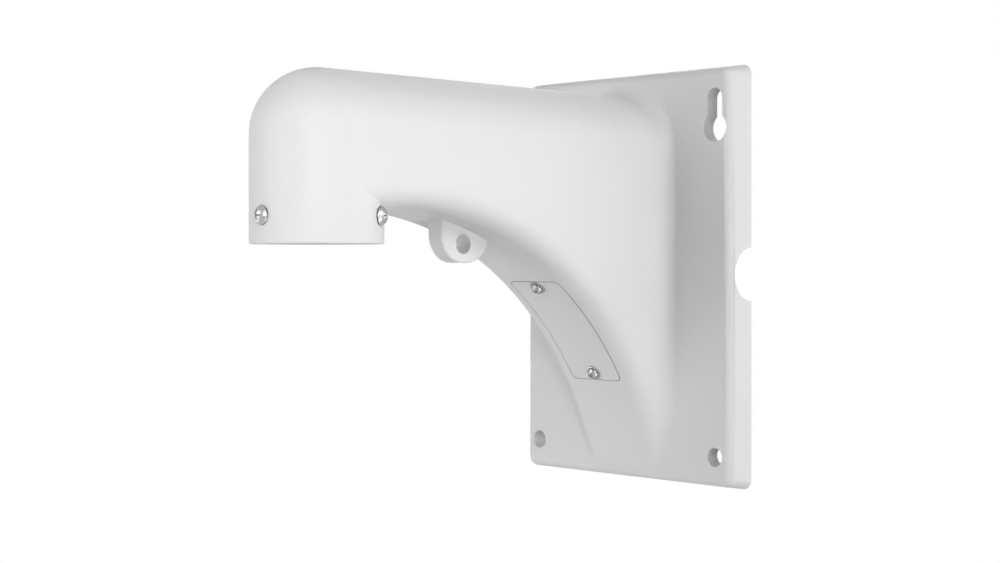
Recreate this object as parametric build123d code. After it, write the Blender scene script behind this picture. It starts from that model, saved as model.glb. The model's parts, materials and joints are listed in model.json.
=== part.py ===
# Camera wall bracket: one hollow die casting with a wall plate, a curved arm and a hanging collar,
# an access cover in the arm's underside, and the screws of the cover and of the collar.
# Millimetres. The back of the plate lies on the wall at Y = 0, the arm reaches to -Y, +Z is up,
# and the origin is the centre of the plate's back.

from build123d import *
from math import cos, degrees, radians, sin, sqrt
import os

# Wall plate, a shallow dish that is open at its back; its top and bottom flare out towards the wall,
# and its height is that of its front
plate_width = 137.0
plate_height = 200.0
plate_flare = 2.6
plate_depth = 16.4
plate_corner = 5.0
plate_edge = 4.5
plate_wall = 4.0
plate_face = 4.5

# Holes for the wall screws: round ones below, keyholes above
hole_inset_side = 9.5
hole_inset_end = 13.75
hole_diameter = 9.0
keyhole_entry = 14.0
keyhole_drop = 14.4
pad_margin = 3.5
pad_depth = 3.2
pad_corner = 7.0

# Cable notch in the side wall of the plate
notch_radius = 12.8
notch_height = 1.3

# Arm and collar, which share one outer width; the inset is from the plate's top to the arm's
reach = 209.5
collar_diameter = 57.0
collar_bottom = 15.0
arm_inset = 10.2
arm_wall = 4.0
root_fillet = 8.0
rim_edge = 0.5

# Threaded socket for the camera, at the pitch diameter of a 1 1/2 inch pipe thread
socket_diameter = 46.4
socket_depth = 25.0
socket_chamfer = 1.2

# Underside of the arm, one arc that starts level at the back of the collar and ends at the plate's foot
arc_height = 30.6
arc_foot = 5.4
under_wall = 4.0
under_fillet = 10.5

# Lug with an eye for the safety wire; it is longer behind the eye, by its stretch
lug_thickness = 9.6
lug_radius = 13.0
lug_stretch = 3.0
lug_offset = 79.7
lug_height = 20.0
lug_edge = 0.6
eye_diameter = 9.2
eye_height = 15.5

# Access cover, its gasket and the frame that it lies in
cover_length = 66.5
cover_width = 32.0
cover_thickness = 2.5
cover_corner = 3.0
cover_gap = 0.4
cover_angle = 42.7
gasket_thickness = 1.0
gasket_inset = 0.5
window_side = 4.0
window_end = 9.0
frame_wall = 3.2
frame_depth = 3.5

# Cover screws with their washers, and the bosses that they go into
cover_screw_inset = 4.2
cover_thread = 3.0
cover_head = 6.4
cover_head_height = 2.4
cover_screw_length = 9.0
cover_boss = 8.0
cover_boss_depth = 4.0
washer_diameter = 7.8
washer_thickness = 0.7

# Lock screws round the collar
lock_count = 3
lock_height = 11.8
lock_thread = 4.0
lock_head = 8.5
lock_head_height = 3.1

# Pan heads and their cross recess, as shares of the head
crown_height = 0.45
crown_width = 0.2
recess_reach = 0.58
recess_width = 0.13
recess_depth = 0.45

# Clearances
seat_clearance = 0.02
thread_clearance = 0.05
pass_clearance = 0.2

# Worked out from the sizes above
half_width = collar_diameter / 2
plate_front = -plate_depth
dish_floor = plate_face - plate_depth
hole_x = plate_width / 2 - hole_inset_side
hole_z = plate_height / 2 - hole_inset_end
collar_y = -reach
arm_height = plate_height / 2 - arm_inset
elbow_z = arm_height - half_width
arc_y = collar_y + half_width
arc_run = plate_front - arc_y
arc_drop = arc_height + plate_height / 2 - arc_foot
arc_radius = (arc_run**2 + arc_drop**2) / (2 * arc_drop)
arc_z = arc_height - arc_radius
socket_top = collar_bottom + socket_depth
lock_z = collar_bottom + lock_height
pocket_radius = arc_radius + cover_thickness + gasket_thickness
frame_radius = pocket_radius + frame_depth
washer_seat = sqrt(arc_radius**2 - (washer_diameter / 2) ** 2) - seat_clearance
beyond = 5.0


def arch(half, top, bottom):
    """Section of the arm: straight sides under a half round top."""
    centre = top - half
    sides = Pos(0, (centre + bottom) / 2) * Rectangle(2 * half, centre - bottom)
    return Pos(0, centre) * Circle(half) + sides


def arm_run(half, top, back, floor_radius):
    """Straight run of the arm from the collar's axis to Y = back, cut to an arc underneath."""
    section = Plane.XZ.offset(-back) * arch(half, top, arc_z)
    under = Pos(0, arc_y, arc_z) * Rot(0, 90, 0) * Cylinder(floor_radius, 4 * half)
    return extrude(section, back - collar_y) - under


def collar_form(radius, bottom):
    """Collar under a round elbow, about the collar's axis: its domed front half closes the arm."""
    foot = Line((0, bottom), (radius, bottom))
    side = Line((radius, bottom), (radius, elbow_z))
    dome = CenterArc((0, elbow_z), radius, 0, 90)
    middle = Line((0, elbow_z + radius), (0, bottom))
    section = Plane.XZ * make_face([foot, side, dome, middle])
    front = Pos(0, collar_y) * revolve(section, Axis.Z, -180)
    back = Pos(0, collar_y, (bottom + elbow_z) / 2) * Cylinder(radius, elbow_z - bottom)
    return front + back


def arc_slab(length, width, near, far):
    """Piece of a curved sheet that follows the underside, between two radii of its arc."""
    sweep = degrees(length / arc_radius)
    start = cover_angle - sweep / 2
    near_arc = CenterArc((arc_y, arc_z), near, start, sweep)
    far_arc = CenterArc((arc_y, arc_z), far, start, sweep)
    ends = [Line(near_arc @ 0, far_arc @ 0), Line(near_arc @ 1, far_arc @ 1)]
    return extrude(Plane.YZ * make_face([near_arc, far_arc, *ends]), width / 2, both=True)


def rounded(slab, corner):
    """A curved sheet with its four corners rounded."""
    corners = slab.edges().filter_by(GeomType.LINE) - slab.edges().filter_by(Axis.X)
    return fillet(corners, corner)


def cover_axis(end, radius):
    """Plane of a cover screw at a radius of the arc, facing the arc's centre; end is 1 above, -1 below."""
    inset = cover_length / 2 - cover_screw_inset
    angle = radians(cover_angle) + end * inset / arc_radius
    point = (0, arc_y + radius * cos(angle), arc_z + radius * sin(angle))
    return Plane(origin=point, x_dir=(1, 0, 0), z_dir=(0, -cos(angle), -sin(angle)))


def lock_axis(index, radius):
    """Plane of a lock screw at a radius of the collar, facing outwards; the first faces the front."""
    angle = radians(index * 360 / lock_count - 90)
    point = (radius * cos(angle), collar_y + radius * sin(angle), lock_z)
    return Plane(origin=point, x_dir=(0, 0, 1), z_dir=(cos(angle), sin(angle), 0))


def drill(plane, diameter, front, depth):
    """Round cutter on a plane's axis, from above the plane to a depth below it."""
    return plane * Pos(0, 0, (front - depth) / 2) * Cylinder(diameter / 2, front + depth)


def pan_screw(thread, head, head_height, length):
    """Pan head screw along Z, with the underside of its head at Z = 0 and its tip below."""
    standing = (Align.CENTER, Align.CENTER, Align.MIN)
    hanging = (Align.CENTER, Align.CENTER, Align.MAX)
    pan = Cylinder(head / 2, head_height, align=standing)
    pan = chamfer(pan.faces().sort_by(Axis.Z)[-1].edges(), crown_height * head_height, crown_width * head)
    slot = Box(recess_reach * head, recess_width * head, recess_depth * head_height, align=hanging)
    cross = Pos(0, 0, head_height) * (slot + Rot(0, 0, 90) * slot)
    return pan - cross + Cylinder(thread / 2, length, align=hanging)


def keyhole():
    """Keyhole with its slot's end at the origin and its round entry below."""
    slot = Pos(0, -keyhole_drop / 2) * Rectangle(hole_diameter, keyhole_drop)
    return Circle(hole_diameter / 2) + slot + Pos(0, -keyhole_drop) * Circle(keyhole_entry / 2)


def at_holes(side, shape):
    """A shape at both wall screws of one row; side is 1 for the upper row, -1 for the lower."""
    return [Pos(x, side * hole_z) * shape for x in (-hole_x, hole_x)]


def corner_pad(across, up, opening, drop):
    """Pad round a wall screw's hole in one corner of the dish; across and up are the corner's signs."""
    width = hole_inset_side + opening / 2 + pad_margin - plate_wall / 2
    height = hole_inset_end + drop + opening / 2 + pad_margin - plate_wall / 2
    x = across * (plate_width - plate_wall - width) / 2
    z = up * (plate_height - plate_wall - height) / 2
    pad = Pos(x, z) * Rectangle(width, height)
    pad = fillet(pad.vertices().sort_by_distance((0, 0, 0))[0], pad_corner)
    return extrude(Plane.XZ.offset(-dish_floor - pad_depth) * pad, pad_depth + plate_face / 2)


def flared_block(width, height, depth, corner):
    """Block on the wall whose top and bottom flare out to its back; the height is that of its front."""
    front = height / 2
    back = front + depth * plate_flare / plate_depth
    side = make_face(Polyline((0, -back), (0, back), (-depth, front), (-depth, -front), close=True))
    block = extrude(Plane.YZ * side, width / 2, both=True)
    ends = block.faces().filter_by(Axis.X)
    corners = [end.edges().sort_by(Axis.Z)[index] for end in ends for index in (0, -1)]
    return fillet(corners, corner)


def outer_form():
    """The casting from outside, still solid and without its lug."""
    plate = flared_block(plate_width, plate_height, plate_depth, plate_corner)
    plate = fillet(plate.faces().sort_by(Axis.Y)[0].edges(), plate_edge)
    arm = arm_run(half_width, arm_height, plate_front, arc_radius)
    under = arm.faces().filter_by(GeomType.CYLINDER).sort_by(Axis.Z)[0]
    arm = fillet(under.edges().filter_by(GeomType.CIRCLE), under_fillet)
    form = plate + arm
    root = [wire for face in form.faces().filter_by(Axis.Y) for wire in face.inner_wires()]
    form = fillet(root[0].edges(), root_fillet)
    collar = collar_form(half_width, collar_bottom)
    rim = collar.faces().sort_by(Axis.Z)[0]
    return form + chamfer(rim.edges(), rim_edge)


def lug_form():
    """Lug for the safety wire, with its foot inside the arm's lower wall."""
    lug_y = collar_y + lug_offset
    surface = arc_z + sqrt(arc_radius**2 - (lug_y - arc_y) ** 2)
    foot = surface + under_wall - lug_height
    middle = lug_y + lug_stretch / 2
    section = Pos(middle, lug_height) * SlotCenterToCenter(lug_stretch, 2 * lug_radius)
    section += Pos(middle, lug_height + foot / 2) * Rectangle(2 * lug_radius + lug_stretch, foot)
    lug = extrude(Plane.YZ * section, lug_thickness / 2, both=True)
    outline = lug.faces().filter_by(Axis.X).edges().sort_by(Axis.Z)[:-2]
    lug = chamfer(outline, lug_edge)
    eye = Pos(0, lug_y, eye_height) * Rot(0, 90, 0) * Cylinder(eye_diameter / 2, 2 * lug_thickness)
    return lug - eye


def inner_space():
    """The hollow from the plate's open back through the arm to the camera's socket."""
    dish_height = plate_height + 2 * plate_flare * plate_face / plate_depth - 2 * plate_wall
    dish = flared_block(plate_width - 2 * plate_wall, dish_height, -dish_floor, plate_corner / 2)
    inner_half = half_width - arm_wall
    arm = arm_run(inner_half, arm_height - arm_wall, dish_floor, arc_radius + under_wall)
    socket_tube = Pos(0, collar_y, socket_top / 2) * Cylinder(half_width, socket_top)
    elbow = collar_form(inner_half, socket_top)
    socket = Pos(0, collar_y, socket_top / 2) * Cylinder(socket_diameter / 2, socket_top)
    lead_in = Pos(0, collar_y, collar_bottom + socket_chamfer / 2) * Cone(
        socket_diameter / 2 + socket_chamfer, socket_diameter / 2, socket_chamfer)
    return dish + (arm - socket_tube) + elbow + socket + lead_in


def bracket_body():
    """The whole casting."""
    body = outer_form() + lug_form() - inner_space()
    cut_length = cover_length + 2 * cover_gap
    cut_width = cover_width + 2 * cover_gap
    body += rounded(arc_slab(cut_length + 2 * frame_wall, cut_width + 2 * frame_wall,
                             arc_radius + under_wall / 2, frame_radius), cover_corner + frame_wall)
    for end in (-1, 1):
        body += drill(cover_axis(end, frame_radius), cover_boss, frame_depth / 2, cover_boss_depth)
    pocket = arc_slab(cut_length, cut_width, arc_radius - beyond, pocket_radius)
    body -= rounded(pocket, cover_corner + cover_gap)
    body -= arc_slab(cover_length - 2 * window_end, cover_width - 2 * window_side,
                     arc_radius, frame_radius + beyond)
    for end in (-1, 1):
        body -= drill(cover_axis(end, frame_radius), cover_thread + 2 * thread_clearance,
                      frame_depth + beyond, cover_boss_depth + beyond)
    for index in range(lock_count):
        body -= drill(lock_axis(index, half_width), lock_thread + 2 * thread_clearance,
                      beyond, half_width - socket_diameter / 2 + beyond)
    for across in (-1, 1):
        body += corner_pad(across, -1, hole_diameter, 0)
        body += corner_pad(across, 1, keyhole_entry, keyhole_drop)
    for hole in at_holes(-1, Circle(hole_diameter / 2)) + at_holes(1, keyhole()):
        body -= extrude(Plane.XZ * hole, plate_depth + beyond)
    notch = Pos(plate_width / 2, 0, notch_height) * Rot(0, 90, 0)
    return body - notch * Cylinder(notch_radius, 3 * plate_wall)


def access_cover():
    """Curved cover, flush with the underside."""
    outline = arc_slab(cover_length, cover_width, arc_radius, arc_radius + cover_thickness)
    cover = rounded(outline, cover_corner)
    for end in (-1, 1):
        cover -= drill(cover_axis(end, arc_radius), cover_thread + 2 * pass_clearance, beyond, beyond)
    return cover


def cover_gasket():
    """Flat rubber ring between the cover and its frame."""
    near = arc_radius + cover_thickness + seat_clearance
    far = pocket_radius - seat_clearance
    outline = arc_slab(cover_length - 2 * gasket_inset, cover_width - 2 * gasket_inset, near, far)
    gasket = rounded(outline, cover_corner)
    gasket -= arc_slab(cover_length - 2 * window_end, cover_width - 2 * window_side,
                       arc_radius, frame_radius)
    for end in (-1, 1):
        gasket -= drill(cover_axis(end, near), cover_thread + 2 * pass_clearance, beyond, beyond)
    return gasket


def cover_washer(end):
    """Plain washer under a cover screw's head, on the two points where it meets the curved cover."""
    ring = Circle(washer_diameter / 2) - Circle(cover_thread / 2 + pass_clearance)
    return cover_axis(end, washer_seat) * extrude(ring, washer_thickness)


def cover_screw(end):
    """Screw that holds one end of the cover."""
    seat = washer_seat - washer_thickness - seat_clearance
    screw = pan_screw(cover_thread, cover_head, cover_head_height, cover_screw_length)
    return cover_axis(end, seat) * screw


def lock_screw(index):
    """Screw through the collar's wall, with its tip level with the socket."""
    length = half_width - socket_diameter / 2 - pass_clearance
    screw = pan_screw(lock_thread, lock_head, lock_head_height, length)
    return lock_axis(index, half_width + seat_clearance) * screw


pieces = {
    "bracket_body": bracket_body(),
    "access_cover": access_cover(),
    "cover_gasket": cover_gasket(),
    "cover_washer_upper": cover_washer(1),
    "cover_washer_lower": cover_washer(-1),
    "cover_screw_upper": cover_screw(1),
    "cover_screw_lower": cover_screw(-1),
    "lock_screw_front": lock_screw(0),
    "lock_screw_right": lock_screw(1),
    "lock_screw_left": lock_screw(2),
}

os.makedirs("parts", exist_ok=True)
for name, piece in pieces.items():
    export_step(piece, f"parts/{name}.step")
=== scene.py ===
# Camera wall bracket, dressed: powder-coated casting and cover, stainless screws and washers, a rubber
# gasket and the thread inside the collar. Metres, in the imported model's frame: the wall is at Y = 0,
# the arm reaches to -Y, and +Z is up.

import json
from math import asin, cos, pi, radians, sin, sqrt

import bmesh
import bpy
from mathutils import Matrix, Vector

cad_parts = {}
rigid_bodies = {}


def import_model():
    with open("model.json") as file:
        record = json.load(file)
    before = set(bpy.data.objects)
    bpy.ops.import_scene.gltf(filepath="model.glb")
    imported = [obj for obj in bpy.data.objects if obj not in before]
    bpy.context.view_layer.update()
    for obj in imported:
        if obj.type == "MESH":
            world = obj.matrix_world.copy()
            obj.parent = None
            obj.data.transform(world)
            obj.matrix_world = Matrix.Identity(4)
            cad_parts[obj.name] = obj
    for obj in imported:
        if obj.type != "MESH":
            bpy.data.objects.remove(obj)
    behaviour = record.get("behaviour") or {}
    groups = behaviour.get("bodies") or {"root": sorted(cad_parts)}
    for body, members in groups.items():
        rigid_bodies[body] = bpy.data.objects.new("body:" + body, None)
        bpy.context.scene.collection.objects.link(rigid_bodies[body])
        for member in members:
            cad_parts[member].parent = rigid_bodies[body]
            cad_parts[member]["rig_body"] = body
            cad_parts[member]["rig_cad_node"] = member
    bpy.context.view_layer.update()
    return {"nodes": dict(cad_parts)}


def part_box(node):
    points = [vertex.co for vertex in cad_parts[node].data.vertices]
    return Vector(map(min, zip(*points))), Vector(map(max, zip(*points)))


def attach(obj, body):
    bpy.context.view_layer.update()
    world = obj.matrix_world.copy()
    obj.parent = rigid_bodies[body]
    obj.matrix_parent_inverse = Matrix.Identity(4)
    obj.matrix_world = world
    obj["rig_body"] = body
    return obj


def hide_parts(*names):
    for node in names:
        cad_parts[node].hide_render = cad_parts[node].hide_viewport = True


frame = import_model()

# Places read from the frame
body_low, body_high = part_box("bracket_body")
front_screw_low, front_screw_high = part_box("lock_screw_front")

# Collar
collar_radius = 0.0285
collar_y = body_low.y + collar_radius
lock_z = (front_screw_low.z + front_screw_high.z) / 2
seat_gap = 0.00002

# Lock screws: M4, with domed heads and a cross recess
lock_thread = 0.004
lock_head = front_screw_high.z - front_screw_low.z
lock_head_height = 0.0031
lock_pitch = 0.0007
lock_length = 0.0051
lock_turns = {"front": 0.0, "right": 0.0, "left": 0.5}

# Cover screws: M3, with domed heads, on washers
cover_thread = 0.003
cover_head = 0.0064
cover_head_height = 0.0024
cover_pitch = 0.0005
cover_screw_length = 0.009
# Share of painted shade that darkens the cover screws' heads all over
cover_screw_painted_shade = 0.3
cover_screw_turns = {"upper": 0.3, "lower": 0.9}
washer_diameter = 0.0078
washer_hole = 0.0034
washer_thickness = 0.0007

# Heads and threads of all the screws: the rim is a share of the head's height, the cross of its width,
# and the thread's depth of its pitch
head_sides = 72
head_rim = 0.1
head_edge = 0.00015
dome_steps = 14
dome_tip = 0.00005
cross_reach = 0.7
cross_width = 0.085
cross_round = 0.00005
cross_depth = 0.00006
# How dark the painted shade round a head's rim is, as a share of the full dark
rim_painted_shade = 0.8
thread_depth = 0.61
thread_sides = 24
washer_round = 0.00012

# Arm, and the arc of its underside, which the cover follows
arm_top = 0.0898
under_round = 0.0105
arc_y = collar_y + collar_radius
arc_height = 0.0306
arc_low = -0.0946
plate_front = -0.0164
arc_run = plate_front - arc_y
arc_drop = arc_height - arc_low
arc_radius = (arc_run**2 + arc_drop**2) / (2 * arc_drop)
arc_z = arc_height - arc_radius
cover_angle = radians(42.7)
cover_length = 0.0665
cover_screw_inset = 0.0042

# Rounds that the coating gives the edges; the wall screws' holes lie farther out than the arm
wall_hole_round = 0.0009
wall_holes_from = 0.045
cover_round = 0.0002

# Angles between faces that are shaded as one, and of edges that are rounded off
smooth = radians(30)
sharp = radians(50)

# Faces on a known form: how far off they may lie and face, and how far their neighbours may face off
form_reach = 0.00009
on_form = radians(10)
near_form = radians(22)

# Gap round the cover: how far it reaches, how its walls may lean, and how much painted shade the two carry
gap_margin = 0.001
gap_depth = 0.003
gap_lean = 0.3
casting_gap_shade = 0.4
cover_gap_shade = 1.0

# Lug under the arm, and its eye
lug_half = 0.0048
lug_y = -0.1298
lug_z = 0.02
lug_radius = 0.013
lug_stretch = 0.003
eye_z = 0.0155
eye_radius = 0.0046

# Thread inside the collar, 11 turns to the inch
socket_radius = 0.0232
socket_low = 0.0162
socket_high = 0.04
socket_pitch = 0.0254 / 11
ridge_height = 0.0008
ridge_sink = 0.0001

# Camera, found from the photograph's vanishing points
camera_place = (0.5787, -0.6579, 0.0089)
camera_turn = (radians(90), 0, radians(45))
camera_lens = 61.758
camera_shift = (-0.0345, -0.0229)

# Floor, far below the object, with the reach of the shadow's tone on it
floor_z = -1.7
floor_size = 12
floor_grey = 0.45
shadow_white = 0.9
shadow_near = 0.5
shadow_far = 1.5

# Finishes: colours, tones as shares of them, roughness, relief in metres, and the scales of their noise
paint_white = (0.70, 0.70, 0.70)
steel_grey = (0.40, 0.40, 0.41)
paint_tones = (0.97, 1.0)
paint_roughness = (0.42, 0.5)
paint_relief = 0.00002
paint_gloss = 0.3
paint_drift = 14.0
# Dark colour of the painted shade in the gap round the cover
paint_shade_color = (0.06, 0.06, 0.06, 1)
steel_stain = 0.86
steel_roughness = (0.24, 0.36)
steel_relief = 0.000004
steel_mark_scale = 2600.0
steel_stain_scale = 380.0
# Dark colour of the painted shade in the screws' crosses, round their rims and over the cover screws' heads
steel_shade_color = (0.035, 0.035, 0.035, 1)
rubber_black = (0.018, 0.018, 0.018, 1)
rubber_bloom = (0.045, 0.045, 0.046, 1)
rubber_bloom_scale = 260.0
rubber_roughness = (0.65, 0.85)


# Shader helpers


def new_material(name):
    """An empty node material, with its nodes and links."""
    material = bpy.data.materials.new(name)
    material.use_nodes = True
    nodes = material.node_tree.nodes
    nodes.clear()
    return material, nodes, material.node_tree.links


def new_group(name, inputs, outputs):
    """A shader node group with named sockets, its nodes, links, and the two end nodes."""
    group = bpy.data.node_groups.new(name, "ShaderNodeTree")
    for socket, kind, value in inputs:
        made = group.interface.new_socket(name=socket, in_out="INPUT", socket_type=kind)
        if value is not None:
            made.default_value = value
    for socket, kind in outputs:
        group.interface.new_socket(name=socket, in_out="OUTPUT", socket_type=kind)
    start = group.nodes.new("NodeGroupInput")
    end = group.nodes.new("NodeGroupOutput")
    return group, group.nodes, group.links, start, end


def placed(nodes, group, **values):
    """A node group placed in a material, with its input values set by name."""
    node = nodes.new("ShaderNodeGroup")
    node.node_tree = group
    for name, value in values.items():
        node.inputs[name.replace("_", " ")].default_value = value
    return node


def noise(nodes, links, vector, scale, detail, roughness=0.5):
    """Noise texture that reads a vector, with a fixed or a linked scale."""
    texture = nodes.new("ShaderNodeTexNoise")
    texture.inputs["Detail"].default_value = detail
    texture.inputs["Roughness"].default_value = roughness
    links.new(vector, texture.inputs["Vector"])
    if isinstance(scale, (int, float)):
        texture.inputs["Scale"].default_value = scale
    else:
        links.new(scale, texture.inputs["Scale"])
    return texture.outputs["Fac"]


def spread(nodes, links, value, ends):
    """A 0 to 1 value moved to the range between two ends."""
    low, high = ends
    node = nodes.new("ShaderNodeMapRange")
    node.inputs["To Min"].default_value = low
    node.inputs["To Max"].default_value = high
    links.new(value, node.inputs["Value"])
    return node.outputs["Result"]


def reckoned(nodes, links, operation, first, second):
    """A sum, product or maximum of two values; either may be a number."""
    node = nodes.new("ShaderNodeMath")
    node.operation = operation
    for socket, value in zip(node.inputs, (first, second)):
        if isinstance(value, (int, float)):
            socket.default_value = value
        else:
            links.new(value, socket)
    return node.outputs["Value"]


def blended(nodes, links, share, first, second):
    """A colour between two others; each may be a link or a colour."""
    mix = nodes.new("ShaderNodeMix")
    mix.data_type = "RGBA"
    links.new(share, mix.inputs["Factor"])
    for name, color in (("A", first), ("B", second)):
        if isinstance(color, tuple):
            mix.inputs[name].default_value = color
        else:
            links.new(color, mix.inputs[name])
    return mix.outputs["Result"]


def coat_grain_group():
    """Powder coat: fine orange peel with a softer swell under it, and a slow drift of tone."""
    group, nodes, links, start, end = new_group(
        "coat_grain",
        [("Vector", "NodeSocketVector", None), ("Peel scale", "NodeSocketFloat", 900.0),
         ("Swell scale", "NodeSocketFloat", 130.0), ("Swell share", "NodeSocketFloat", 0.5)],
        [("Height", "NodeSocketFloat"), ("Tone", "NodeSocketFloat")])
    vector = start.outputs["Vector"]
    peel = noise(nodes, links, vector, start.outputs["Peel scale"], detail=1.5)
    swell = noise(nodes, links, vector, start.outputs["Swell scale"], detail=2.0)
    weighted = reckoned(nodes, links, "MULTIPLY", swell, start.outputs["Swell share"])
    links.new(reckoned(nodes, links, "ADD", peel, weighted), end.inputs["Height"])
    links.new(noise(nodes, links, vector, paint_drift, detail=3.0), end.inputs["Tone"])
    return group


def painted_shade_group():
    """Painted shade, dark where a piece's own attribute marks it, as in a screw's slot or the gap round the
    cover.
    """
    group, nodes, links, start, end = new_group(
        "painted_shade_darkening",
        [("Color", "NodeSocketColor", None), ("Grime", "NodeSocketColor", steel_shade_color)],
        [("Color", "NodeSocketColor")])
    mark = nodes.new("ShaderNodeAttribute")
    mark.attribute_name = "painted_shade"
    with_painted_shade = blended(nodes, links, mark.outputs["Fac"], start.outputs["Color"], start.outputs["Grime"])
    links.new(with_painted_shade, end.inputs["Color"])
    return group


def painted_metal(name, grain, painted_shade):
    """Metal with a satin white powder coat."""
    material, nodes, links = new_material(name)
    place = nodes.new("ShaderNodeTexCoord").outputs["Object"]
    coat = placed(nodes, grain)
    links.new(place, coat.inputs["Vector"])
    shader = nodes.new("ShaderNodeBsdfPrincipled")
    shader.inputs["Specular IOR Level"].default_value = paint_gloss
    output = nodes.new("ShaderNodeOutputMaterial")
    darker, lighter = [(*[tone * part for part in paint_white], 1) for tone in paint_tones]
    # Painted shade where the piece's attribute marks it, in the gap round the cover
    with_painted_shade = placed(nodes, painted_shade, Grime=paint_shade_color)
    links.new(blended(nodes, links, coat.outputs["Tone"], darker, lighter), with_painted_shade.inputs["Color"])
    links.new(with_painted_shade.outputs["Color"], shader.inputs["Base Color"])
    links.new(spread(nodes, links, coat.outputs["Tone"], paint_roughness), shader.inputs["Roughness"])
    relief = nodes.new("ShaderNodeBump")
    relief.inputs["Distance"].default_value = paint_relief
    links.new(coat.outputs["Height"], relief.inputs["Height"])
    links.new(relief.outputs["Normal"], shader.inputs["Normal"])
    links.new(shader.outputs["BSDF"], output.inputs["Surface"])
    return material


def tumbled_steel(painted_shade):
    """Stainless steel of a cold-headed screw: tumbled bright, with fine marks in all directions."""
    material, nodes, links = new_material("screw_steel")
    place = nodes.new("ShaderNodeTexCoord").outputs["Object"]
    shader = nodes.new("ShaderNodeBsdfPrincipled")
    output = nodes.new("ShaderNodeOutputMaterial")
    marks = noise(nodes, links, place, steel_mark_scale, detail=3.0, roughness=0.6)
    stain = noise(nodes, links, place, steel_stain_scale, detail=2.0)
    stained = (*[steel_stain * part for part in steel_grey], 1)
    # Painted shade where the piece's attribute marks it: in the cross, round the rim and over the cover
    # screws' heads
    with_painted_shade = placed(nodes, painted_shade, Grime=steel_shade_color)
    links.new(blended(nodes, links, stain, stained, (*steel_grey, 1)), with_painted_shade.inputs["Color"])
    links.new(with_painted_shade.outputs["Color"], shader.inputs["Base Color"])
    links.new(spread(nodes, links, marks, steel_roughness), shader.inputs["Roughness"])
    relief = nodes.new("ShaderNodeBump")
    relief.inputs["Distance"].default_value = steel_relief
    links.new(marks, relief.inputs["Height"])
    links.new(relief.outputs["Normal"], shader.inputs["Normal"])
    shader.inputs["Metallic"].default_value = 1.0
    links.new(shader.outputs["BSDF"], output.inputs["Surface"])
    return material


def gasket_rubber():
    """Matt black rubber with a faint bloom."""
    material, nodes, links = new_material("gasket_rubber")
    place = nodes.new("ShaderNodeTexCoord").outputs["Object"]
    shader = nodes.new("ShaderNodeBsdfPrincipled")
    output = nodes.new("ShaderNodeOutputMaterial")
    bloom = noise(nodes, links, place, rubber_bloom_scale, detail=4.0)
    links.new(blended(nodes, links, bloom, rubber_black, rubber_bloom), shader.inputs["Base Color"])
    links.new(spread(nodes, links, bloom, rubber_roughness), shader.inputs["Roughness"])
    links.new(shader.outputs["BSDF"], output.inputs["Surface"])
    return material


def seen_directly(nodes, links):
    """1 for the rays that carry a picture: to the eye, in reflections and through glass."""
    path = nodes.new("ShaderNodeLightPath")
    camera_ray, glossy_ray = path.outputs["Is Camera Ray"], path.outputs["Is Glossy Ray"]
    seen = reckoned(nodes, links, "MAXIMUM", camera_ray, glossy_ray)
    return reckoned(nodes, links, "MAXIMUM", seen, path.outputs["Is Transmission Ray"])


def floor_white():
    """Plain floor, white to the eye: it glows white far out, and a little less near the object's shadow."""
    material, nodes, links = new_material("floor_white")
    cloth = nodes.new("ShaderNodeBsdfDiffuse")
    cloth.inputs["Color"].default_value = (floor_grey, floor_grey, floor_grey, 1)
    reach = nodes.new("ShaderNodeVectorMath")
    reach.operation = "LENGTH"
    links.new(nodes.new("ShaderNodeTexCoord").outputs["Object"], reach.inputs[0])
    ring = nodes.new("ShaderNodeMapRange")
    ring.inputs["From Min"].default_value = shadow_near
    ring.inputs["From Max"].default_value = shadow_far
    ring.inputs["To Min"].default_value = shadow_white
    links.new(reach.outputs["Value"], ring.inputs["Value"])
    glow = nodes.new("ShaderNodeEmission")
    seen = seen_directly(nodes, links)
    links.new(reckoned(nodes, links, "MULTIPLY", ring.outputs["Result"], seen), glow.inputs["Strength"])
    both = nodes.new("ShaderNodeAddShader")
    links.new(cloth.outputs["BSDF"], both.inputs[0])
    links.new(glow.outputs["Emission"], both.inputs[1])
    output = nodes.new("ShaderNodeOutputMaterial")
    links.new(both.outputs["Shader"], output.inputs["Surface"])
    return material


# Modelling helpers


def deselect():
    """Nothing selected."""
    bpy.ops.object.select_all(action="DESELECT")


def only(piece):
    """The piece alone selected and active."""
    deselect()
    piece.select_set(True)
    bpy.context.view_layer.objects.active = piece


def finish_piece(piece, name, material, nodes=()):
    """Names a finished piece, shades it, gives it its material and ties it to the frame."""
    only(piece)
    bpy.ops.object.transform_apply(location=True, rotation=True, scale=True)
    bpy.ops.object.shade_smooth_by_angle(angle=smooth)
    piece.name = name
    piece.data.name = name
    piece.data.materials.clear()
    piece.data.materials.append(material)
    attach(piece, "root")
    if nodes:
        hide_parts(*nodes)


def apply_modifier(piece, kind, **values):
    """Adds a modifier with its values and applies it."""
    only(piece)
    modifier = piece.modifiers.new(kind.lower(), kind)
    for name, value in values.items():
        setattr(modifier, name, value)
    bpy.ops.object.modifier_apply(modifier=modifier.name)


def from_node(node):
    """A copy of a CAD node with its loose triangles merged, free to be worked on."""
    source = frame["nodes"][node]
    piece = source.copy()
    piece.data = source.data.copy()
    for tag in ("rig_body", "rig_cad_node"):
        del piece[tag]
    piece.parent = None
    bpy.context.scene.collection.objects.link(piece)
    only(piece)
    bpy.ops.object.mode_set(mode="EDIT")
    bpy.ops.mesh.select_all(action="SELECT")
    bpy.ops.mesh.remove_doubles(threshold=0.000002)
    bpy.ops.object.mode_set(mode="OBJECT")
    return piece


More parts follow.
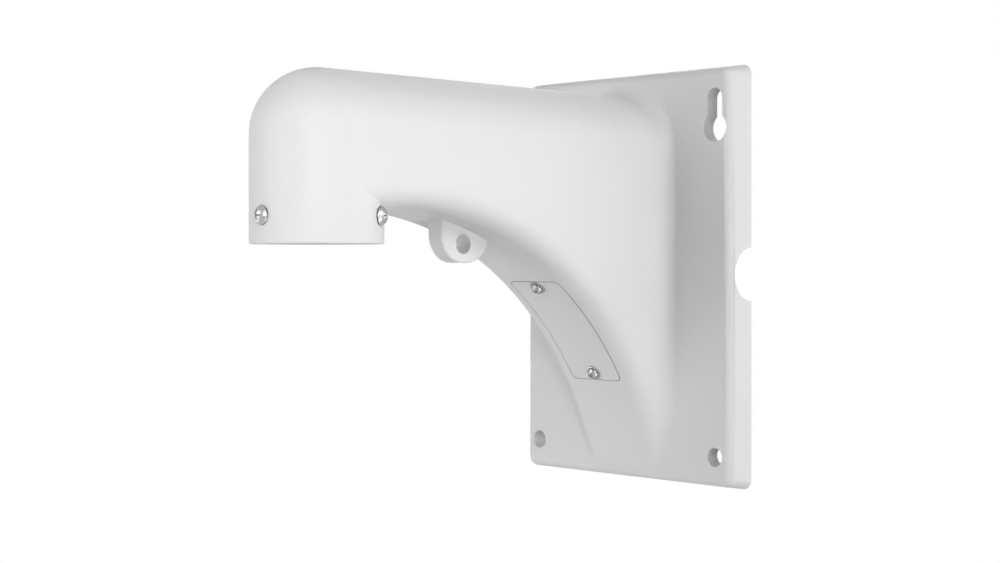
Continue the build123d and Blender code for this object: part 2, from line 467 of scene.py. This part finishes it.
def round_edges(piece, chosen, width, steps):
    """Rounds the outer edges for which chosen(middle, angle between its faces) is true."""
    only(piece)
    bpy.ops.object.mode_set(mode="EDIT")
    bpy.ops.mesh.select_mode(type="EDGE")
    bpy.ops.mesh.select_all(action="DESELECT")
    mesh = bmesh.from_edit_mesh(piece.data)
    for edge in mesh.edges:
        if len(edge.link_faces) == 2 and edge.is_convex:
            middle = (edge.verts[0].co + edge.verts[1].co) / 2
            edge.select_set(chosen(middle, edge.calc_face_angle()))
    bmesh.update_edit_mesh(piece.data)
    bpy.ops.mesh.bevel(offset=width, segments=steps, affect="EDGES", clamp_overlap=True)
    bpy.ops.object.mode_set(mode="OBJECT")


def flat(point, facing):
    """A plane, as a function that gives a place's distance to it and the direction that it faces there."""
    return lambda place: ((place - Vector(point)).dot(Vector(facing)), Vector(facing))


def barrel(point, axis, radius, out=1):
    """A cylinder about an axis, in the same form; out is -1 where the metal is outside it."""
    def at(place):
        away = place - Vector(point)
        away -= away.dot(Vector(axis)) * Vector(axis)
        return away.length - radius, out * away.normalized()
    return at


def ball(centre, radius):
    """A sphere, in the same form."""
    def at(place):
        away = place - Vector(centre)
        return away.length - radius, away.normalized()
    return at


def bend(centre, axis, sweep, radius):
    """A round edge that runs along a circle about an axis, in the same form."""
    def at(place):
        away = place - Vector(centre)
        away -= away.dot(Vector(axis)) * Vector(axis)
        spoke = place - (Vector(centre) + sweep * away.normalized())
        return spoke.length - radius, spoke.normalized()
    return at


def true_shading(piece, forms):
    """Gives the faces that lie on known forms those forms' own directions, so that facets don't show."""
    mesh = piece.data
    normals = [Vector((0, 0, 0))] * len(mesh.loops)
    known = {}
    left = []
    for face in mesh.polygons:
        corners = [mesh.vertices[index].co for index in face.vertices]
        found = None
        for form in forms:
            if all(abs(form(corner)[0]) < form_reach for corner in corners):
                if form(face.center)[1].dot(face.normal) > cos(on_form):
                    found = form
                    break
        if found is None:
            left.append(face)
            continue
        for loop, vertex, corner in zip(face.loop_indices, face.vertices, corners):
            normals[loop] = found(corner)[1]
            known.setdefault(vertex, []).append(normals[loop])
    for face in left:
        for loop, vertex in zip(face.loop_indices, face.vertices):
            near = max(known.get(vertex, []), key=face.normal.dot, default=None)
            if near is not None and near.dot(face.normal) > cos(near_form):
                normals[loop] = near
    mesh.normals_split_custom_set(normals)


def turned(profile, steps):
    """A solid turned about Z: the first radius's disc, extruded and resized up its (radius, z) profile."""
    radius, height = profile[0]
    foot = (0, 0, height)
    deselect()
    bpy.ops.mesh.primitive_circle_add(vertices=steps, radius=radius, fill_type="NGON", location=foot)
    piece = bpy.context.object
    bpy.ops.object.transform_apply(location=True)
    bpy.ops.object.mode_set(mode="EDIT")
    bpy.ops.mesh.select_all(action="SELECT")
    for wider, higher in profile[1:]:
        share = wider / radius
        bpy.ops.mesh.extrude_region_move(TRANSFORM_OT_translate={"value": (0, 0, higher - height)})
        bpy.ops.transform.resize(value=(share, share, 1))
        radius, height = wider, higher
    bpy.ops.mesh.select_all(action="SELECT")
    bpy.ops.mesh.normals_make_consistent(inside=False)
    bpy.ops.object.mode_set(mode="OBJECT")
    return piece


def threaded(thread, pitch, length):
    """Shank below Z = 0 with a screw thread, spun from one turn's profile."""
    depth = thread_depth * pitch
    root = thread / 2 - depth
    turns = int(length / pitch)
    deselect()
    bpy.ops.mesh.primitive_plane_add(size=1)
    piece = bpy.context.object
    outline = bmesh.new()
    points = [(root, 0), (root, 0.1), (thread / 2, 0.45), (thread / 2, 0.65), (root, 1.0)]
    corners = [outline.verts.new((x, 0, -length + pitch * z)) for x, z in points]
    for lower, upper in zip(corners, corners[1:]):
        outline.edges.new((lower, upper))
    outline.to_mesh(piece.data)
    outline.free()
    apply_modifier(piece, "SCREW", axis="Z", angle=2 * pi, screw_offset=pitch, iterations=turns - 1,
                   steps=thread_sides, render_steps=thread_sides, use_merge_vertices=True,
                   merge_threshold=0.000001)
    return piece


def joined(pieces):
    """Several meshes made one; the first keeps its place and name."""
    deselect()
    for piece in pieces:
        piece.select_set(True)
    bpy.context.view_layer.objects.active = pieces[0]
    bpy.ops.object.join()
    return pieces[0]


def cross_cutter(head, height):
    """Tapered cross that sinks the recess of a domed head."""
    bars = []
    for turn, taper in ((0, (0.6, 0.8, 1)), (pi / 2, (0.8, 0.6, 1))):
        deselect()
        bpy.ops.mesh.primitive_cube_add(size=1, location=(0, 0, height))
        bar = bpy.context.object
        bar.scale = (cross_reach * head, cross_width * head, height)
        bar.rotation_euler = (0, 0, turn)
        bpy.ops.object.transform_apply(location=True, rotation=True, scale=True)
        only(bar)
        bpy.ops.object.mode_set(mode="EDIT")
        bpy.ops.mesh.select_all(action="DESELECT")
        bpy.ops.mesh.select_mode(type="FACE")
        bpy.ops.object.mode_set(mode="OBJECT")
        for face in bar.data.polygons:
            face.select = face.normal.z < -0.5
        bpy.ops.object.mode_set(mode="EDIT")
        bpy.ops.transform.resize(value=taper)
        bpy.ops.object.mode_set(mode="OBJECT")
        bars.append(bar)
    apply_modifier(bars[0], "BOOLEAN", operation="UNION", object=bars[1], solver="EXACT")
    bpy.data.objects.remove(bars[1])
    return bars[0]


def domed_screw(thread, pitch, head, height, length, head_painted_shade=0.0):
    """Screw along Z with a domed head, its underside at Z = 0; painted shade darkens its cross and rim, and
    its head by a share.
    """
    half = head / 2
    rim = head_rim * height
    rise = height - rim
    dome = (half**2 + rise**2) / (2 * rise)
    reach = asin(half / dome)
    profile = [(half - head_edge, 0), (half, head_edge), (half, rim)]
    for step in range(1, dome_steps):
        turn = reach * (1 - step / dome_steps)
        profile.append((dome * sin(turn), height - dome * (1 - cos(turn))))
    profile.append((dome_tip, height))
    body = turned(profile, steps=head_sides)
    cutter = cross_cutter(head, height)
    apply_modifier(body, "BOOLEAN", operation="DIFFERENCE", object=cutter, solver="EXACT")
    bpy.data.objects.remove(cutter)
    apply_modifier(body, "BEVEL", width=cross_round, segments=2, limit_method="ANGLE", angle_limit=sharp)
    # Painted shade: full in the cross, strong round the rim, and the given share over the rest of the head
    marks = body.data.attributes.new("painted_shade", "FLOAT", "POINT")
    for vertex, spot in zip(body.data.vertices, marks.data):
        sunk = dome - (vertex.co - Vector((0, 0, height - dome))).length
        if sunk > cross_depth and vertex.co.z > rim:
            spot.value = 1.0
        elif vertex.co.z < rim + 0.00001:
            spot.value = rim_painted_shade
        else:
            spot.value = head_painted_shade
    shank = threaded(thread, pitch, length)
    return joined([body, shank])


def washer():
    """Plain washer with rounded rims, on Z = 0."""
    outer = washer_diameter / 2
    inner = washer_hole / 2
    ring = turned([(outer, 0), (outer, washer_thickness)], steps=64)
    bore = turned([(inner, -washer_thickness), (inner, 2 * washer_thickness)], steps=48)
    apply_modifier(ring, "BOOLEAN", operation="DIFFERENCE", object=bore, solver="EXACT")
    bpy.data.objects.remove(bore)
    apply_modifier(ring, "BEVEL", width=washer_round, segments=2, limit_method="ANGLE", angle_limit=sharp)
    return ring


def lock_place(index):
    """Matrix of a lock screw: on the collar, its Z axis facing outwards."""
    angle = index * 2 * pi / len(lock_turns) - pi / 2
    outwards = Vector((cos(angle), sin(angle), 0))
    point = Vector((0, collar_y, lock_z)) + (collar_radius + seat_gap) * outwards
    return Matrix.Translation(point) @ outwards.to_track_quat("Z", "Y").to_matrix().to_4x4()


def cover_place(end, lift):
    """Matrix of a cover screw or washer: over the cover, its Z axis facing away from the arm."""
    angle = cover_angle + end * (cover_length / 2 - cover_screw_inset) / arc_radius
    outwards = Vector((0, -cos(angle), -sin(angle)))
    seat = sqrt(arc_radius**2 - (washer_diameter / 2) ** 2) - seat_gap - lift
    point = Vector((0, arc_y, arc_z)) - seat * outwards
    return Matrix.Translation(point) @ outwards.to_track_quat("Z", "X").to_matrix().to_4x4()


def copied(original, matrix):
    """A copy of a piece, with its own mesh, put in place."""
    piece = original.copy()
    piece.data = original.data.copy()
    piece.matrix_world = matrix
    bpy.context.scene.collection.objects.link(piece)
    return piece


def paint_gap_shade(piece, amount):
    """Marks a piece's walls in the gap round the cover, for the painted shade in its paint."""
    low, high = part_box("access_cover")
    marks = piece.data.attributes.new("painted_shade", "FLOAT", "FACE")
    for face, spot in zip(piece.data.polygons, marks.data):
        away = face.center - Vector((face.center.x, arc_y, arc_z))
        depth = away.length - arc_radius
        inside = all(low[i] - gap_margin < face.center[i] < high[i] + gap_margin for i in range(3))
        upright = abs(face.normal.dot(away.normalized())) < gap_lean
        if inside and upright and 0 < depth < gap_depth:
            spot.value = amount


# Pieces


def casting(paint):
    """The casting, from its solid, with rounded rims at the wall screws' holes."""
    piece = from_node("bracket_body")
    bpy.ops.object.mode_set(mode="EDIT")
    bpy.ops.mesh.select_all(action="SELECT")
    bpy.ops.mesh.dissolve_limited(angle_limit=0.002)
    bpy.ops.object.mode_set(mode="OBJECT")

    def at_wall_holes(middle, angle):
        return angle > 1 and abs(middle.y - plate_front) < 0.00001 and abs(middle.x) > wall_holes_from

    round_edges(piece, at_wall_holes, wall_hole_round, steps=4)
    # Painted shade on the casting's walls in the gap round the cover
    paint_gap_shade(piece, casting_gap_shade)
    finish_piece(piece, "bracket_body_coated", paint, ["bracket_body"])
    half = collar_radius
    arm_centre = arm_top - half
    side = half - under_round
    true_shading(piece, [
        barrel((0, collar_y, 0), (0, 0, 1), half),
        flat((half, 0, 0), (1, 0, 0)),
        flat((-half, 0, 0), (-1, 0, 0)),
        barrel((0, 0, arm_centre), (0, 1, 0), half),
        ball((0, collar_y, arm_centre), half),
        barrel((0, arc_y, arc_z), (1, 0, 0), arc_radius, -1),
        bend((side, arc_y, arc_z), (1, 0, 0), arc_radius + under_round, under_round),
        bend((-side, arc_y, arc_z), (1, 0, 0), arc_radius + under_round, under_round),
        flat((0, plate_front, 0), (0, -1, 0)),
        flat((body_high.x, 0, 0), (1, 0, 0)),
        flat((body_low.x, 0, 0), (-1, 0, 0)),
        flat((lug_half, 0, 0), (1, 0, 0)),
        flat((-lug_half, 0, 0), (-1, 0, 0)),
        barrel((0, lug_y, lug_z), (1, 0, 0), lug_radius),
        barrel((0, lug_y + lug_stretch, lug_z), (1, 0, 0), lug_radius),
        barrel((0, lug_y, eye_z), (1, 0, 0), eye_radius, -1),
    ])


def cover(paint):
    """The access cover, from its solid, with its outer edge rounded."""
    piece = from_node("access_cover")

    def at_rim(middle, angle):
        reach = (middle - Vector((middle.x, arc_y, arc_z))).length
        return angle > 1 and abs(reach - arc_radius) < 0.00005

    round_edges(piece, at_rim, cover_round, steps=2)
    # Painted shade on the cover's walls in the gap round it
    paint_gap_shade(piece, cover_gap_shade)
    finish_piece(piece, "access_cover_coated", paint, ["access_cover"])
    outside = barrel((0, arc_y, arc_z), (1, 0, 0), arc_radius, -1)
    true_shading(piece, [outside])


def lock_screws(steel):
    """Three lock screws round the collar."""
    original = domed_screw(lock_thread, lock_pitch, lock_head, lock_head_height, lock_length)
    for index, (side, turn) in enumerate(lock_turns.items()):
        turned_by = Matrix.Rotation(turn, 4, "Z")
        piece = copied(original, lock_place(index) @ turned_by)
        finish_piece(piece, f"lock_screw_{side}_detailed", steel, [f"lock_screw_{side}"])
    bpy.data.objects.remove(original)


def cover_screws(steel):
    """The cover's two screws and their washers."""
    screw = domed_screw(cover_thread, cover_pitch, cover_head, cover_head_height, cover_screw_length,
                        cover_screw_painted_shade)
    ring = washer()
    for end, (side, turn) in zip((1, -1), cover_screw_turns.items()):
        turned_by = Matrix.Rotation(turn, 4, "Z")
        piece = copied(screw, cover_place(end, washer_thickness + seat_gap) @ turned_by)
        finish_piece(piece, f"cover_screw_{side}_detailed", steel, [f"cover_screw_{side}"])
        piece = copied(ring, cover_place(end, 0))
        finish_piece(piece, f"cover_washer_{side}_detailed", steel, [f"cover_washer_{side}"])
    bpy.data.objects.remove(screw)
    bpy.data.objects.remove(ring)


def socket_thread(material):
    """Ridge of the collar's inner thread."""
    turns = int((socket_high - socket_low) / socket_pitch) - 1
    deselect()
    bpy.ops.mesh.primitive_plane_add(size=1)
    ridge = bpy.context.object
    outline = bmesh.new()
    outer = socket_radius + ridge_sink
    inner = socket_radius - ridge_height
    points = [(outer, 0.12), (inner, 0.42), (inner, 0.58), (outer, 0.88)]
    corners = [outline.verts.new((x, 0, socket_pitch * z)) for x, z in points]
    outline.faces.new(corners)
    outline.to_mesh(ridge.data)
    outline.free()
    apply_modifier(ridge, "SCREW", axis="Z", angle=2 * pi, screw_offset=socket_pitch, iterations=turns,
                   steps=72, render_steps=72)
    ridge.matrix_world = Matrix.Translation((0, collar_y, socket_low))
    bpy.ops.object.mode_set(mode="EDIT")
    bpy.ops.mesh.select_all(action="SELECT")
    bpy.ops.mesh.normals_make_consistent(inside=False)
    bpy.ops.object.mode_set(mode="OBJECT")
    finish_piece(ridge, "socket_thread", material)


# Surroundings


def floor():
    """Pale floor, far enough down to lie outside the photograph's view."""
    deselect()
    bpy.ops.mesh.primitive_plane_add(size=floor_size, location=(0, 0, floor_z))
    plane = bpy.context.object
    plane.name = "floor"
    plane.data.materials.append(floor_white())


def soft_lamp(name, azimuth, elevation, distance, power, width, height=None, centre=(0, -0.12, 0), cone=180):
    """Soft rectangular lamp round the object; azimuth 0 is the front, and 90 the object's right."""
    data = bpy.data.lights.new(name, "AREA")
    data.shape = "RECTANGLE"
    data.size = width
    data.size_y = height or width
    data.spread = radians(cone)
    data.energy = power
    turn, rise = radians(azimuth), radians(elevation)
    away = Vector((sin(turn) * cos(rise), -cos(turn) * cos(rise), sin(rise)))
    lamp = bpy.data.objects.new(name, data)
    lamp.location = Vector(centre) + distance * away
    lamp.rotation_euler = away.to_track_quat("Z", "Y").to_euler()
    bpy.context.scene.collection.objects.link(lamp)


def lights():
    """Soft boxes and two tall strips round the object, and a small one on the collar's right front."""
    soft_lamp("front_strip", -15, 0, 1.6, 6.2, 0.4, 2.0)
    soft_lamp("front", -17, 15, 1.6, 9.4, 0.9)
    soft_lamp("left_low", -58, -24, 1.6, 5.0, 0.9)
    soft_lamp("right_front", 58, 28, 1.6, 5.1, 0.9)
    soft_lamp("right_strip", 90, 0, 1.6, 4.2, 0.4, 2.0)
    soft_lamp("right_high", 103, 28, 1.6, 8.6, 0.9)
    soft_lamp("right_low", 85, -40, 1.6, 8.4, 0.9)
    soft_lamp("right_rear", 145, 2, 1.6, 5.4, 0.9)
    soft_lamp("collar_spot", 55, 4, 1.5, 0.15, 0.35, centre=(-0.01, -0.235, 0.05), cone=18)
    soft_lamp("below", 0, -89, 1.5, 1.6, 0.9)
    soft_lamp("back", 200, 20, 1.8, 4.2, 1.4)
    soft_lamp("top", 200, 75, 1.6, 1.5, 1.2)


def surround():
    """World: no light of its own, and pure white to the eye and in reflections."""
    world = bpy.data.worlds.new("surround")
    world.use_nodes = True
    nodes, links = world.node_tree.nodes, world.node_tree.links
    nodes.clear()
    dark = nodes.new("ShaderNodeBackground")
    dark.inputs["Strength"].default_value = 0.0
    bright = nodes.new("ShaderNodeBackground")
    bright.inputs["Color"].default_value = (1, 1, 1, 1)
    mix = nodes.new("ShaderNodeMixShader")
    links.new(seen_directly(nodes, links), mix.inputs["Fac"])
    links.new(dark.outputs["Background"], mix.inputs[1])
    links.new(bright.outputs["Background"], mix.inputs[2])
    output = nodes.new("ShaderNodeOutputWorld")
    links.new(mix.outputs["Shader"], output.inputs["Surface"])
    bpy.context.scene.world = world


def camera():
    """The photograph's camera."""
    data = bpy.data.cameras.new("camera")
    data.lens = camera_lens
    data.shift_x, data.shift_y = camera_shift
    eye = bpy.data.objects.new("camera", data)
    eye.location = camera_place
    eye.rotation_euler = camera_turn
    bpy.context.scene.collection.objects.link(eye)
    bpy.context.scene.camera = eye


# The model, put together

grain = coat_grain_group()
painted_shade = painted_shade_group()
casting_paint = painted_metal("casting_paint", grain, painted_shade)
cover_paint = painted_metal("cover_paint", grain, painted_shade)
steel = tumbled_steel(painted_shade)

casting(casting_paint)
cover(cover_paint)
gasket = frame["nodes"]["cover_gasket"]
gasket.data.materials.clear()
gasket.data.materials.append(gasket_rubber())
lock_screws(steel)
cover_screws(steel)
socket_thread(casting_paint)

floor()
lights()
surround()
camera()
bpy.context.scene.view_settings.view_transform = "Standard"
